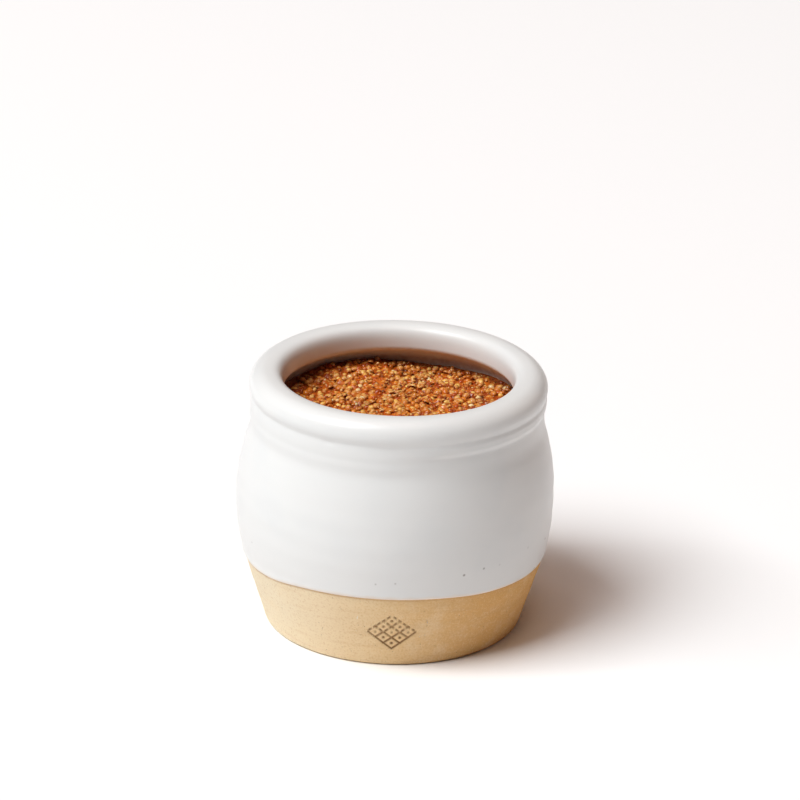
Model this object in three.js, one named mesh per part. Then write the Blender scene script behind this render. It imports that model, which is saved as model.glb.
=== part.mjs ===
// A small stoneware pot with a fat rolled rim, glazed down to a bare clay foot and filled with
// coarse whole-grain mustard. Millimetres, +Z up, origin on the ground under the pot's axis.
// The pot is one turned solid. The mustard is a second solid that lies inside it.

import * as THREE from 'three';

// Foot and bare clay
const footRecessRadius = 27;
const footRecessDepth = 1;
const footRecessSlope = 1.2;
const footRounding = 1.5;
const taperTop = 17;

// Belly: one arc, bulging out to bellyRadius at bellyHeight
const bellyRadius = 44.85;
const bellyHeight = 37;
const bellyCurve = 66;
const bellyTop = 57;

// Glaze: a thin coat from glazeLine upwards
const glazeLine = 22.7;
const glazeThickness = 0.25;

// Neck: a soft waist, a low collar above it and a crease under the rim
const waist = { radius: 41.15, height: 62.4 };
const collar = { radius: 41.7, height: 65.2 };
const crease = { radius: 41.35, height: 67.4 };

// Rim: a round roll
const rimRadius = 37.4;
const rimHeight = 70.3;
const rimRounding = 4.6;
const rimStartDegrees = -24;
const rimEndDegrees = 220;

// Inside: a floor, a round corner and a wall that is one long arc
const floorHeight = 6;
const floorRounding = 9;
const innerRadius = 39.7;
const innerHeight = 42;
const innerCurve = 80;
const innerTop = 64;

// Mustard: seeds stand as small bumps on rings round the middle
const fillLevel = 62;
const wallGap = 0.3;
const seedRings = 17;
const seedRise = { least: 0.5, most: 1.15 };
const seedShift = 0.36;
const ringSwirl = 0.14;
const hollowDip = 0.45;
const lumpHeight = 0.5;

const turnSteps = 72;

/** Points on an arc in the outline plane. Angles are in degrees, from straight outwards. */
function arc(centreRadius, centreHeight, radius, fromDegrees, toDegrees, steps) {
  const points = [];
  for (let step = 0; step <= steps; step += 1) {
    const degrees = THREE.MathUtils.lerp(fromDegrees, toDegrees, step / steps);
    const angle = THREE.MathUtils.degToRad(degrees);
    points.push(new THREE.Vector2(
      centreRadius + radius * Math.cos(angle),
      centreHeight + radius * Math.sin(angle),
    ));
  }
  return points;
}

/** The angle on an arc, in degrees, where it reaches a height. */
function angleAt(height, centreHeight, radius) {
  return THREE.MathUtils.radToDeg(Math.asin((height - centreHeight) / radius));
}

/** The outline of the underside, the foot's round edge and the straight taper above it. */
function footOutline() {
  const lean = Math.asin((bellyHeight - taperTop) / bellyCurve);
  const taperTopRadius = bellyRadius - bellyCurve * (1 - Math.cos(lean));
  const footRadius = taperTopRadius - taperTop * Math.tan(lean);
  const edgeRadius = footRadius - footRounding * (1 - Math.sin(lean)) / Math.cos(lean);
  const leanDegrees = THREE.MathUtils.radToDeg(lean);
  return [
    new THREE.Vector2(0, footRecessDepth),
    new THREE.Vector2(footRecessRadius, footRecessDepth),
    new THREE.Vector2(footRecessRadius + footRecessSlope, 0),
    ...arc(edgeRadius, footRounding, footRounding, -90, -leanDegrees, 3),
  ];
}

/** The belly's arc between two heights, standing out by the coat that covers it there. */
function bellyOutline(fromHeight, toHeight, coat, steps) {
  const from = angleAt(fromHeight, bellyHeight, bellyCurve);
  const to = angleAt(toHeight, bellyHeight, bellyCurve);
  const centreRadius = bellyRadius - bellyCurve;
  return arc(centreRadius, bellyHeight, bellyCurve + coat, from, to, steps);
}

/** The neck from the top of the belly to the foot of the rim, as one smooth curve. */
function neckOutline(start, end) {
  const curve = new THREE.SplineCurve([
    start,
    new THREE.Vector2(waist.radius, waist.height),
    new THREE.Vector2(collar.radius, collar.height),
    new THREE.Vector2(crease.radius, crease.height),
    end,
  ]);
  return curve.getPoints(8).slice(1, -1);
}

/** The inside from a height on the wall down to the floor's middle, standing in by a gap. */
function insideOutline(topHeight, gap, wallSteps, cornerSteps) {
  const wallCentre = innerRadius - innerCurve;
  const cornerHeight = floorHeight + floorRounding;
  const cornerRadius = wallCentre
    + Math.sqrt((innerCurve - floorRounding) ** 2 - (innerHeight - cornerHeight) ** 2);
  const meeting = angleAt(cornerHeight, innerHeight, innerCurve - floorRounding);
  const top = angleAt(topHeight, innerHeight, innerCurve - gap);
  return [
    ...arc(wallCentre, innerHeight, innerCurve - gap, top, meeting, wallSteps),
    ...arc(cornerRadius, cornerHeight, floorRounding - gap, meeting, -90, cornerSteps).slice(1),
    new THREE.Vector2(0, floorHeight + gap),
  ];
}

/** The under-side of the rim's roll, curving out into the inner wall. */
function throatOutline(start, end) {
  const bend = new THREE.Vector2(end.x, end.y + (start.y - end.y) * 0.1);
  return new THREE.QuadraticBezierCurve(start, bend, end).getPoints(3).slice(1, -1);
}

/** The whole pot: its outline goes up the outside, over the rim and down the inside. */
function makePot() {
  const belly = bellyOutline(glazeLine, bellyTop, glazeThickness, 8);
  const rim = arc(rimRadius, rimHeight, rimRounding, rimStartDegrees, rimEndDegrees, 11);
  const inside = insideOutline(innerTop, 0, 5, 3);
  const outline = [
    ...footOutline(),
    ...bellyOutline(taperTop, glazeLine, 0, 1),
    ...belly,
    ...neckOutline(belly[belly.length - 1], rim[0]),
    ...rim,
    ...throatOutline(rim[rim.length - 1], inside[0]),
    ...inside,
  ];
  const geometry = new THREE.LatheGeometry(outline, turnSteps);
  geometry.rotateX(Math.PI / 2);
  return geometry;
}

/** A repeatable draw of numbers between two limits. */
function makeDraw(seed) {
  let state = seed;
  return (least, most) => {
    state = (state * 1664525 + 1013904223) % 4294967296;
    return least + (most - least) * (state / 4294967296);
  };
}

/** The inner wall's radius at a height, less the gap that the mustard keeps to it. */
function fillRadius(height) {
  const reach = innerCurve - wallGap;
  return innerRadius - innerCurve + Math.sqrt(reach ** 2 - (height - innerHeight) ** 2);
}

/** The mustard's level at a place, with the low lumps left by spooning it in. */
function levelAt(x, y) {
  const acrossWave = Math.sin(0.13 * x + 0.06 * y + 0.8);
  const alongWave = Math.cos(0.1 * y - 0.07 * x + 0.4);
  return fillLevel + lumpHeight * (acrossWave + alongWave);
}

/** The angle of a place on a ring. The rings are wound a little, so that no spokes show. */
function ringAngle(ring, place) {
  return (2 * Math.PI * place) / (6 * ring) + ringSwirl * Math.log(ring);
}

/** One point for each seed: a middle one, then six more on each ring than on the last. */
function makeSeeds(draw) {
  const pitch = fillRadius(fillLevel) / seedRings;
  const seeds = [new THREE.Vector3(0, 0, levelAt(0, 0) + seedRise.most)];
  for (let ring = 1; ring <= seedRings; ring += 1) {
    const atWall = ring === seedRings;
    for (let place = 0; place < 6 * ring; place += 1) {
      const shift = atWall ? 0 : seedShift * pitch;
      const angle = ringAngle(ring, place) + draw(-shift, shift) / (ring * pitch);
      const middle = ring * pitch + draw(-shift, shift);
      const level = levelAt(middle * Math.cos(angle), middle * Math.sin(angle));
      const height = level + (atWall ? 0 : draw(seedRise.least, seedRise.most));
      const radius = atWall ? fillRadius(height) : middle;
      seeds.push(new THREE.Vector3(radius * Math.cos(angle), radius * Math.sin(angle), height));
    }
  }
  return seeds;
}

/** The number of a seed in the list, counting round its ring past the last to the first. */
function seedAt(ring, place) {
  if (ring === 0) return 0;
  const before = 1 + 3 * ring * (ring - 1);
  return before + (place % (6 * ring));
}

/** The three-cornered cells between neighbouring seeds, each turning left seen from above. */
function makeCells() {
  const cells = [];
  for (let ring = 1; ring <= seedRings; ring += 1) {
    for (let side = 0; side < 6; side += 1) {
      for (let place = 0; place < ring; place += 1) {
        const outer = side * ring + place;
        const inner = side * (ring - 1) + place;
        cells.push([seedAt(ring, outer), seedAt(ring, outer + 1), seedAt(ring - 1, inner)]);
        if (place < ring - 1) {
          cells.push([seedAt(ring, outer + 1), seedAt(ring - 1, inner + 1), seedAt(ring - 1, inner)]);
        }
      }
    }
  }
  return cells;
}

/** The bumpy top: a hollow in each cell, and a small pyramid from the hollows up to each seed. */
function makeTop(seeds) {
  const points = [...seeds];
  const faces = [];
  const hollowBeside = new Map();
  for (const cell of makeCells()) {
    const corners = cell.map((number) => seeds[number]);
    const x = (corners[0].x + corners[1].x + corners[2].x) / 3;
    const y = (corners[0].y + corners[1].y + corners[2].y) / 3;
    const hollow = points.length;
    points.push(new THREE.Vector3(x, y, levelAt(x, y) - hollowDip));
    for (let corner = 0; corner < 3; corner += 1) {
      const from = cell[corner];
      const to = cell[(corner + 1) % 3];
      const across = hollowBeside.get(`${to} ${from}`);
      if (across === undefined) {
        hollowBeside.set(`${from} ${to}`, hollow);
      } else {
        hollowBeside.delete(`${to} ${from}`);
        faces.push([from, across, hollow], [to, hollow, across]);
      }
    }
  }
  for (const [edge, hollow] of hollowBeside) {
    const [from, to] = edge.split(' ').map(Number);
    faces.push([from, to, hollow]);
  }
  return { points, faces };
}

/** The mustard: the bumpy top, closed below by rings that follow the pot's inside. */
function makeMustard() {
  const { points, faces } = makeTop(makeSeeds(makeDraw(7)));
  const places = 6 * seedRings;
  let above = Array.from({ length: places }, (unused, place) => seedAt(seedRings, place));
  const lowest = fillLevel - 4 * lumpHeight;
  for (const point of insideOutline(lowest, wallGap, 4, 2).slice(0, -1)) {
    const below = [];
    for (let place = 0; place < places; place += 1) {
      const angle = ringAngle(seedRings, place);
      below.push(points.length);
      points.push(new THREE.Vector3(point.x * Math.cos(angle), point.x * Math.sin(angle), point.y));
    }
    for (let place = 0; place < places; place += 1) {
      const next = (place + 1) % places;
      faces.push([above[place], below[place], below[next]], [above[place], below[next], above[next]]);
    }
    above = below;
  }
  const middle = points.length;
  points.push(new THREE.Vector3(0, 0, floorHeight + wallGap));
  for (let place = 0; place < places; place += 1) {
    faces.push([above[place], middle, above[(place + 1) % places]]);
  }
  const geometry = new THREE.BufferGeometry().setFromPoints(points);
  geometry.setIndex(faces.flat());
  return geometry;
}

/** A named mesh in its own plain finish. */
function makeMesh(name, geometry, color, roughness) {
  const material = new THREE.MeshStandardMaterial({ color, roughness, metalness: 0 });
  const mesh = new THREE.Mesh(geometry, material);
  mesh.name = name;
  return mesh;
}

const filledPot = new THREE.Group();
filledPot.add(makeMesh('pot', makePot(), 0xe8e6e1, 0.25));
filledPot.add(makeMesh('mustard', makeMustard(), 0xa8591c, 0.45));

export default filledPot;
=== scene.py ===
"""A small stoneware pot of whole-grain mustard, finished for a studio picture.

The pot is one turned piece, dipped in white glaze down to a bare clay foot. The mustard is a
paste that fills it, full of whole seeds, husks and crumbs. Every size is in millimetres, and
becomes metres where a mesh, a light or the camera is made.
"""

from __future__ import annotations

import logging
import math
from dataclasses import dataclass, field
from enum import Enum
from itertools import pairwise

import bpy
import numpy as np
from mathutils import Matrix, Vector
from mathutils.kdtree import KDTree


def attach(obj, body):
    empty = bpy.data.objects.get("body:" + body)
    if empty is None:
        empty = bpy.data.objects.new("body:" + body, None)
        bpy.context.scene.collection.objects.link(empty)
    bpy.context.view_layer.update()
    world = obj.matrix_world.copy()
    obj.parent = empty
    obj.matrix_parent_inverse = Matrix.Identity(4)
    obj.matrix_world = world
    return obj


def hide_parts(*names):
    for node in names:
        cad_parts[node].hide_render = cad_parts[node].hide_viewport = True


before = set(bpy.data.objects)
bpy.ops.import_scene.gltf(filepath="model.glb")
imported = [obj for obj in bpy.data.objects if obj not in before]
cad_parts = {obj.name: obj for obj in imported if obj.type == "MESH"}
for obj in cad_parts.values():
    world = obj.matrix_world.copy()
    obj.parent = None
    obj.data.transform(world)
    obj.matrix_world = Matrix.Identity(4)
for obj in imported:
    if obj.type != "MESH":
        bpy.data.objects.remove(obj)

log = logging.getLogger("mustard_pot")

MM = 0.001
Colour = tuple[float, float, float]
Factors = tuple[float, float, float]
Span = tuple[float, float]
Pair = tuple[float, float]
Socket = bpy.types.NodeSocket
Piece = bpy.types.Object


# Working at the bench: the steps that every piece is modelled with


def put_down() -> None:
    """Leaves edit mode and deselects everything."""
    if bpy.context.object and bpy.context.object.mode != "OBJECT":
        bpy.ops.object.mode_set(mode="OBJECT")
    bpy.ops.object.select_all(action="DESELECT")


def pick_up(piece: Piece) -> None:
    """Makes one piece the only selected and active one.

    Args:
        piece: The piece to work on.
    """
    put_down()
    piece.select_set(True)
    bpy.context.view_layer.objects.active = piece


def turn_outline(name: str, outline: np.ndarray, steps: int) -> Piece:
    """Turns an outline round the upright axis into one closed piece, as on a wheel.

    Args:
        name: The piece's name.
        outline: Rows of radius and height, from the axis round to the axis again.
        steps: How many steps the full turn has.

    Returns:
        The turned piece, smooth, with its faces outwards.
    """
    put_down()
    bpy.ops.mesh.primitive_plane_add(size=MM)
    piece = bpy.context.object
    piece.name = piece.data.name = name
    bpy.ops.object.mode_set(mode="EDIT")
    bpy.ops.mesh.select_mode(type="VERT")
    bpy.ops.mesh.select_all(action="SELECT")
    bpy.ops.mesh.merge(type="CENTER")
    places = [Vector((radius * MM, 0.0, height * MM)) for radius, height in outline]
    bpy.ops.transform.translate(value=places[0])
    for here, there in pairwise(places):
        bpy.ops.mesh.extrude_region_move(TRANSFORM_OT_translate={"value": there - here})
    bpy.ops.mesh.select_all(action="SELECT")
    bpy.ops.mesh.spin(steps=steps, angle=math.tau, center=(0, 0, 0), axis=(0, 0, 1))
    bpy.ops.mesh.select_all(action="SELECT")
    bpy.ops.mesh.remove_doubles(threshold=0.002 * MM)
    bpy.ops.mesh.normals_make_consistent(inside=False)
    bpy.ops.object.mode_set(mode="OBJECT")
    bpy.ops.object.shade_smooth()
    return piece


def read_places(piece: Piece) -> np.ndarray:
    """Reads a piece's points.

    Args:
        piece: The piece.

    Returns:
        One row of x, y and z for each point, in millimetres.
    """
    places = np.empty(len(piece.data.vertices) * 3)
    piece.data.vertices.foreach_get("co", places)
    return places.reshape(-1, 3) / MM


def write_places(piece: Piece, places: np.ndarray) -> None:
    """Moves a piece's points.

    Args:
        piece: The piece.
        places: One row of x, y and z for each point, in millimetres.
    """
    piece.data.vertices.foreach_set("co", (places * MM).ravel())
    piece.data.update()


def write_values(piece: Piece, name: str, values: np.ndarray) -> None:
    """Stores one number for each point of a piece, for its finish to read.

    Args:
        piece: The piece.
        name: The attribute's name.
        values: The numbers.
    """
    attribute = piece.data.attributes.new(name, "FLOAT", "POINT")
    attribute.data.foreach_set("value", values.astype(np.float32))


def arc(centre: Pair, radius: float, start: float, end: float, steps: int) -> np.ndarray:
    """Points on an arc in the outline plane.

    Args:
        centre: Radius and height of the arc's centre.
        radius: The arc's own radius.
        start: Angle of the first point, in degrees from straight outwards.
        end: Angle of the last point.
        steps: How many steps lie between them.

    Returns:
        Rows of radius and height.
    """
    angles = np.radians(np.linspace(start, end, steps + 1))
    return np.column_stack((centre[0] + radius * np.cos(angles), centre[1] + radius * np.sin(angles)))


def curve_through(points: np.ndarray, start: np.ndarray, end: np.ndarray, steps: int) -> np.ndarray:
    """A smooth curve through points in the outline plane.

    Args:
        points: Rows of radius and height.
        start: Direction in which the curve leaves the first point.
        end: Direction in which it reaches the last one.
        steps: How many steps each stretch between two points has.

    Returns:
        Rows of radius and height, without the first and the last of the points.
    """
    lengths = np.linalg.norm(np.diff(points, axis=0), axis=1)
    ways = [start / np.linalg.norm(start)]
    for before, after in zip(points[:-2], points[2:]):
        ways.append((after - before) / np.linalg.norm(after - before))
    ways.append(end / np.linalg.norm(end))
    rows = []
    for number, length in enumerate(lengths):
        for share in np.linspace(0, 1, steps, endpoint=False):
            rest = 1 - share
            rows.append(
                points[number] * (1 + 2 * share) * rest**2
                + points[number + 1] * (3 - 2 * share) * share**2
                + ways[number] * length * share * rest**2
                - ways[number + 1] * length * share**2 * rest
            )
    return np.array(rows[1:])


def ease(value: np.ndarray, low: float, high: float) -> np.ndarray:
    """A soft step from 0 at low to 1 at high.

    Args:
        value: The values to step.
        low: Where the step starts.
        high: Where it ends, which may be below low.

    Returns:
        Numbers from 0 to 1.
    """
    share = np.clip((value - low) / (high - low), 0, 1)
    return share * share * (3 - 2 * share)


def from_axis(places: np.ndarray) -> np.ndarray:
    """How far points lie from the upright axis.

    Args:
        places: The points.

    Returns:
        The radius of each.
    """
    return np.hypot(places[:, 0], places[:, 1])


# Mixing finishes


@dataclass(frozen=True)
class Fade:
    """How a colour comes in: where it starts, where it is full, and its share there."""

    start: float
    full: float
    share: float = 1.0


class Recipe:
    """A finish being mixed from shader nodes, with Object coordinates in millimetres."""

    def __init__(self, name: str) -> None:
        """Starts a material with an empty shader.

        Args:
            name: The material's name.
        """
        self.material = bpy.data.materials.new(name)
        self.material.use_nodes = True
        self.tree = self.material.node_tree
        self.surface = self.tree.nodes["Principled BSDF"]
        coordinates = self.tree.nodes.new("ShaderNodeTexCoord")
        to_millimetres = self.tree.nodes.new("ShaderNodeMapping")
        to_millimetres.inputs["Scale"].default_value = (1 / MM,) * 3
        self.join(coordinates.outputs["Object"], to_millimetres.inputs["Vector"])
        self.place = to_millimetres.outputs["Vector"]

    def join(self, source: Socket, target: Socket) -> None:
        """Feeds one socket from another."""
        self.tree.links.new(source, target)

    def give(self, target: Socket, value: Socket | float | Colour) -> None:
        """Feeds a socket from another one, or sets it to a number or a colour.

        Args:
            target: The socket to feed.
            value: What goes into it.
        """
        if isinstance(value, bpy.types.NodeSocket):
            self.join(value, target)
        elif isinstance(value, tuple) and target.type == "RGBA":
            target.default_value = (*value, 1.0)
        else:
            target.default_value = value

    def stretch(self, scale: Factors) -> Socket:
        """The place in millimetres, scaled along each axis.

        Args:
            scale: The three factors.

        Returns:
            The scaled place.
        """
        node = self.tree.nodes.new("ShaderNodeMapping")
        node.inputs["Scale"].default_value = scale
        self.join(self.place, node.inputs["Vector"])
        return node.outputs["Vector"]

    def along(self, axis: str) -> Socket:
        """The distance along one axis, in millimetres.

        Args:
            axis: X, Y or Z.

        Returns:
            The distance.
        """
        node = self.tree.nodes.new("ShaderNodeSeparateXYZ")
        self.join(self.place, node.inputs["Vector"])
        return node.outputs[axis]

    def noise(self, size: float, detail: float = 3.0, place: Socket | None = None) -> Socket:
        """A cloudy pattern.

        Args:
            size: The width of its clouds, in millimetres.
            detail: How many finer layers it has.
            place: Where to read it, if not at the plain place.

        Returns:
            A number from 0 to 1.
        """
        node = self.tree.nodes.new("ShaderNodeTexNoise")
        node.inputs["Scale"].default_value = 1 / size
        node.inputs["Detail"].default_value = detail
        self.join(place or self.place, node.inputs["Vector"])
        return node.outputs["Fac"]

    def grains(self, size: float, output: str = "Distance") -> Socket:
        """A pattern of round grains.

        Args:
            size: How far apart they lie, in millimetres.
            output: The distance to the nearest grain, or its own random colour.

        Returns:
            That output.
        """
        node = self.tree.nodes.new("ShaderNodeTexVoronoi")
        node.inputs["Scale"].default_value = 1 / size
        self.join(self.place, node.inputs["Vector"])
        return node.outputs[output]

    def stored(self, name: str) -> Socket:
        """A number stored on the piece's points.

        Args:
            name: The attribute's name.

        Returns:
            The number.
        """
        node = self.tree.nodes.new("ShaderNodeAttribute")
        node.attribute_name = name
        return node.outputs["Fac"]

    def step(self, value: Socket, low: float, high: float, to: Span = (0.0, 1.0)) -> Socket:
        """A soft step between two numbers.

        Args:
            value: The value to step.
            low: Where the step starts.
            high: Where it ends.
            to: The numbers it gives at low and at high.

        Returns:
            The stepped number.
        """
        node = self.tree.nodes.new("ShaderNodeMapRange")
        node.interpolation_type = "SMOOTHSTEP"
        self.join(value, node.inputs["Value"])
        for name, number in zip(("From Min", "From Max", "To Min", "To Max"), (low, high, *to)):
            node.inputs[name].default_value = number
        return node.outputs["Result"]

    def work_out(self, rule: str, *values: Socket | float) -> Socket:
        """One sum on numbers.

        Args:
            rule: What is done with them, such as ADD or MULTIPLY.
            *values: The numbers.

        Returns:
            The answer.
        """
        node = self.tree.nodes.new("ShaderNodeMath")
        node.operation = rule
        for socket, value in zip(node.inputs, values):
            self.give(socket, value)
        return node.outputs["Value"]

    def blend(self, share: Socket | float, first: Socket | Colour, second: Socket | Colour) -> Socket:
        """A mixture of two colours.

        Args:
            share: How much of the second one, from 0 to 1.
            first: The first colour.
            second: The second colour.

        Returns:
            The mixed colour.
        """
        node = self.tree.nodes.new("ShaderNodeMix")
        node.data_type = "RGBA"
        first_colour, second_colour = (socket for socket in node.inputs if socket.type == "RGBA")
        self.give(node.inputs["Factor"], share)
        self.give(first_colour, first)
        self.give(second_colour, second)
        return next(socket for socket in node.outputs if socket.type == "RGBA")

    def fade(self, value: Socket, fade: Fade) -> Socket:
        """How far a colour has come in.

        Args:
            value: What it follows.
            fade: Where it starts and where it is full.

        Returns:
            Its share.
        """
        return self.step(value, fade.start, fade.full, (0.0, fade.share))

    def lay(self, under: Socket | Colour, over: Colour, value: Socket, fade: Fade) -> Socket:
        """Lays a colour over another wherever it has come in.

        Args:
            under: The colour that is there.
            over: The colour that comes in.
            value: What it follows.
            fade: Where it starts and where it is full.

        Returns:
            The mixed colour.
        """
        return self.blend(self.fade(value, fade), under, over)

    def raise_by(self, height: Socket, depth: float) -> None:
        """Adds relief that is too fine for the mesh, on top of any that is there.

        Args:
            height: The relief, from 0 to 1.
            depth: Its full height, in millimetres.
        """
        node = self.tree.nodes.new("ShaderNodeBump")
        node.inputs["Strength"].default_value = 1.0
        node.inputs["Distance"].default_value = depth * MM
        self.join(height, node.inputs["Height"])
        before = self.surface.inputs["Normal"].links
        if before:
            self.join(before[0].from_socket, node.inputs["Normal"])
        self.join(node.outputs["Normal"], self.surface.inputs["Normal"])

    def finish(self, **values: Socket | float | Colour) -> bpy.types.Material:
        """Sets the shader's own sockets.

        Args:
            **values: Socket names, with _ for a space, and what each gets.

        Returns:
            The finished material.
        """
        for name, value in values.items():
            self.give(self.surface.inputs[name.replace("_", " ")], value)
        return self.material


@dataclass(frozen=True)
class BareClay:
    """Sandy unglazed stoneware, with painted light making it paler on the lit left side and painted shade
    making it browner on the shaded right side.
    """

    sand: Colour = (0.82, 0.57, 0.30)
    pale_sand: Colour = (0.88, 0.70, 0.46)
    dark_sand: Colour = (0.60, 0.34, 0.14)
    lit_side_pale_sand: Colour = (0.88, 0.77, 0.58)
    shade_side_brown_sand: Colour = (0.70, 0.375, 0.12)
    edge_toast: Colour = (0.56, 0.31, 0.14)
    stain: Colour = (0.20, 0.09, 0.03)
    grit: Colour = (0.30, 0.17, 0.08)
    lit_side_paling: Fade = Fade(8.0, -42.0, 0.9)
    shade_side_browning: Fade = Fade(-6.0, 32.0, 0.95)
    edge_toasting: Fade = Fade(-0.9, -0.05, 0.6)
    patch_size: float = 7.0
    patches: Fade = Fade(0.45, 0.75, 0.35)
    line_size: float = 1.6
    line_stretch: Factors = (0.12, 0.12, 1.0)
    turning_lines: Fade = Fade(0.5, 0.8, 0.3)
    grain_size: float = 0.55
    dark_grains: Fade = Fade(0.5, 0.75, 0.4)
    pale_grains: Fade = Fade(0.5, 0.3, 0.3)
    grit_gap: float = 0.9
    grit_grains: Fade = Fade(0.22, 0.12)
    grit_patch_size: float = 2.6
    grit_patches: Fade = Fade(0.6, 0.66, 0.6)
    stain_shares: Span = (0.6, 0.95)

    def mix(self) -> bpy.types.Material:
        """Mixes the finish."""
        recipe = Recipe("bare_clay")
        across = recipe.along("X")
        # Painted light and shade: the clay grows paler towards the lit left and browner towards the shaded
        # right.
        colour = recipe.lay(self.sand, self.lit_side_pale_sand, across, self.lit_side_paling)
        colour = recipe.lay(colour, self.shade_side_brown_sand, across, self.shade_side_browning)
        colour = recipe.lay(colour, self.pale_sand, recipe.noise(self.patch_size, 4.0), self.patches)
        lines = recipe.noise(self.line_size, 3.0, recipe.stretch(self.line_stretch))
        colour = recipe.lay(colour, self.dark_sand, lines, self.turning_lines)
        sand = recipe.noise(self.grain_size, 3.0)
        colour = recipe.lay(colour, self.dark_sand, sand, self.dark_grains)
        colour = recipe.lay(colour, self.pale_sand, sand, self.pale_grains)
        gritty = recipe.fade(recipe.noise(self.grit_patch_size, 1.0), self.grit_patches)
        grains = recipe.fade(recipe.grains(self.grit_gap), self.grit_grains)
        colour = recipe.blend(recipe.work_out("MULTIPLY", grains, gritty), colour, self.grit)
        colour = recipe.lay(colour, self.edge_toast, recipe.stored("edge_height"), self.edge_toasting)
        rubbed = recipe.step(sand, 0.8, 0.4, self.stain_shares)
        stain = recipe.work_out("MULTIPLY", recipe.stored("stain"), rubbed)
        colour = recipe.blend(stain, colour, self.stain)
        recipe.raise_by(sand, 0.08)
        recipe.raise_by(recipe.noise(1.4, 2.0), 0.1)
        return recipe.finish(
            Base_Color=colour,
            Roughness=recipe.step(sand, 0.3, 0.7, (0.92, 0.8)),
            Specular_IOR_Level=0.25,
        )


@dataclass(frozen=True)
class WhiteGlaze:
    """A smooth white glaze, thin and creamy at its lower edge, with a few iron specks near it, and a brown
    band inside above the mustard that is partly smeared mustard and partly painted shade and painted
    reflection.
    """

    white: Colour = (0.81, 0.80, 0.785)
    pool: Colour = (0.79, 0.785, 0.775)
    thin: Colour = (0.80, 0.68, 0.57)
    iron: Colour = (0.12, 0.075, 0.05)
    smear_and_shade: Colour = (0.30, 0.17, 0.105)
    cloud_size: float = 13.0
    pooling: Fade = Fade(0.4, 0.75)
    edge_wander: float = 1.2
    thinning: Fade = Fade(0.8, -0.6, 0.75)
    speck_gap: float = 4.0
    speck_radius: float = 0.42
    speck_reach: float = 8.0
    speck_share: float = 0.6
    streak_size: float = 2.2
    streak_shares: Span = (0.95, 0.6)

    def mix(self) -> bpy.types.Material:
        """Mixes the finish."""
        recipe = Recipe("white_glaze")
        colour = recipe.lay(self.white, self.pool, recipe.noise(self.cloud_size, 2.0), self.pooling)
        height = recipe.stored("edge_height")
        wander = recipe.work_out("MULTIPLY", recipe.noise(3.0, 2.0), self.edge_wander)
        above = recipe.work_out("SUBTRACT", height, wander)
        colour = recipe.lay(colour, self.thin, above, self.thinning)
        size = self.speck_radius / self.speck_gap
        near = recipe.fade(recipe.grains(self.speck_gap), Fade(1.4 * size, 0.5 * size, self.speck_share))
        picked = recipe.fade(recipe.grains(self.speck_gap, "Color"), Fade(0.5, 0.6))
        low = recipe.fade(height, Fade(self.speck_reach + 2.0, self.speck_reach))
        speck = recipe.work_out("MULTIPLY", recipe.work_out("MULTIPLY", near, picked), low)
        colour = recipe.blend(speck, colour, self.iron)
        # Partly smeared mustard, partly painted shade and painted reflection: the inner wall just above the
        # mustard is tinted brown in streaks.
        streaks = recipe.step(recipe.noise(self.streak_size), 0.2, 0.8, self.streak_shares)
        smear_and_shade_film = recipe.work_out("MULTIPLY", recipe.stored("smear_and_shade"), streaks)
        colour = recipe.blend(smear_and_shade_film, colour, self.smear_and_shade)
        recipe.raise_by(recipe.noise(8.0, 1.0), 0.03)
        return recipe.finish(
            Base_Color=colour,
            Roughness=recipe.step(recipe.noise(5.0, 2.0), 0.3, 0.7, (0.29, 0.34)),
            Specular_IOR_Level=0.32,
            Coat_Weight=0.06,
            Coat_Roughness=0.14,
        )


@dataclass(frozen=True)
class MustardPaste:
    """Ground mustard between the seeds: moist, orange-brown and grainy."""

    brown: Colour = (0.33, 0.048, 0.004)
    amber: Colour = (0.62, 0.145, 0.012)
    gold: Colour = (0.82, 0.42, 0.10)
    dark: Colour = (0.15, 0.024, 0.003)
    coat: Colour = (0.55, 0.125, 0.012)
    cloud_size: float = 3.5
    amber_clouds: Fade = Fade(0.4, 0.6)
    fleck_size: float = 1.1
    gold_flecks: Fade = Fade(0.55, 0.7, 0.8)
    speck_size: float = 0.8
    dark_specks: Fade = Fade(0.55, 0.75, 0.6)
    wet_and_shade_share: float = 0.75

    def mix(self) -> bpy.types.Material:
        """Mixes the finish."""
        recipe = Recipe("mustard_paste")
        colour = recipe.lay(self.brown, self.amber, recipe.noise(self.cloud_size, 3.0), self.amber_clouds)
        colour = recipe.lay(colour, self.gold, recipe.noise(self.fleck_size, 2.0), self.gold_flecks)
        colour = recipe.lay(colour, self.dark, recipe.noise(self.speck_size, 2.0), self.dark_specks)
        # Painted shade, partly a damp edge: the paste is darkened near the wall and in hollows.
        wet_and_shade = recipe.work_out("MULTIPLY", recipe.stored("wet_and_shade"), self.wet_and_shade_share)
        colour = recipe.blend(wet_and_shade, colour, self.dark)
        recipe.raise_by(recipe.noise(0.7, 2.0), 0.2)
        return recipe.finish(
            Base_Color=colour,
            Roughness=recipe.step(recipe.noise(1.5, 1.0), 0.35, 0.65, (0.16, 0.26)),
            Specular_IOR_Level=0.4,
            Subsurface_Weight=0.15,
            Subsurface_Scale=0.0008,
            Subsurface_Radius=(1.0, 0.4, 0.15),
        )


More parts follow.
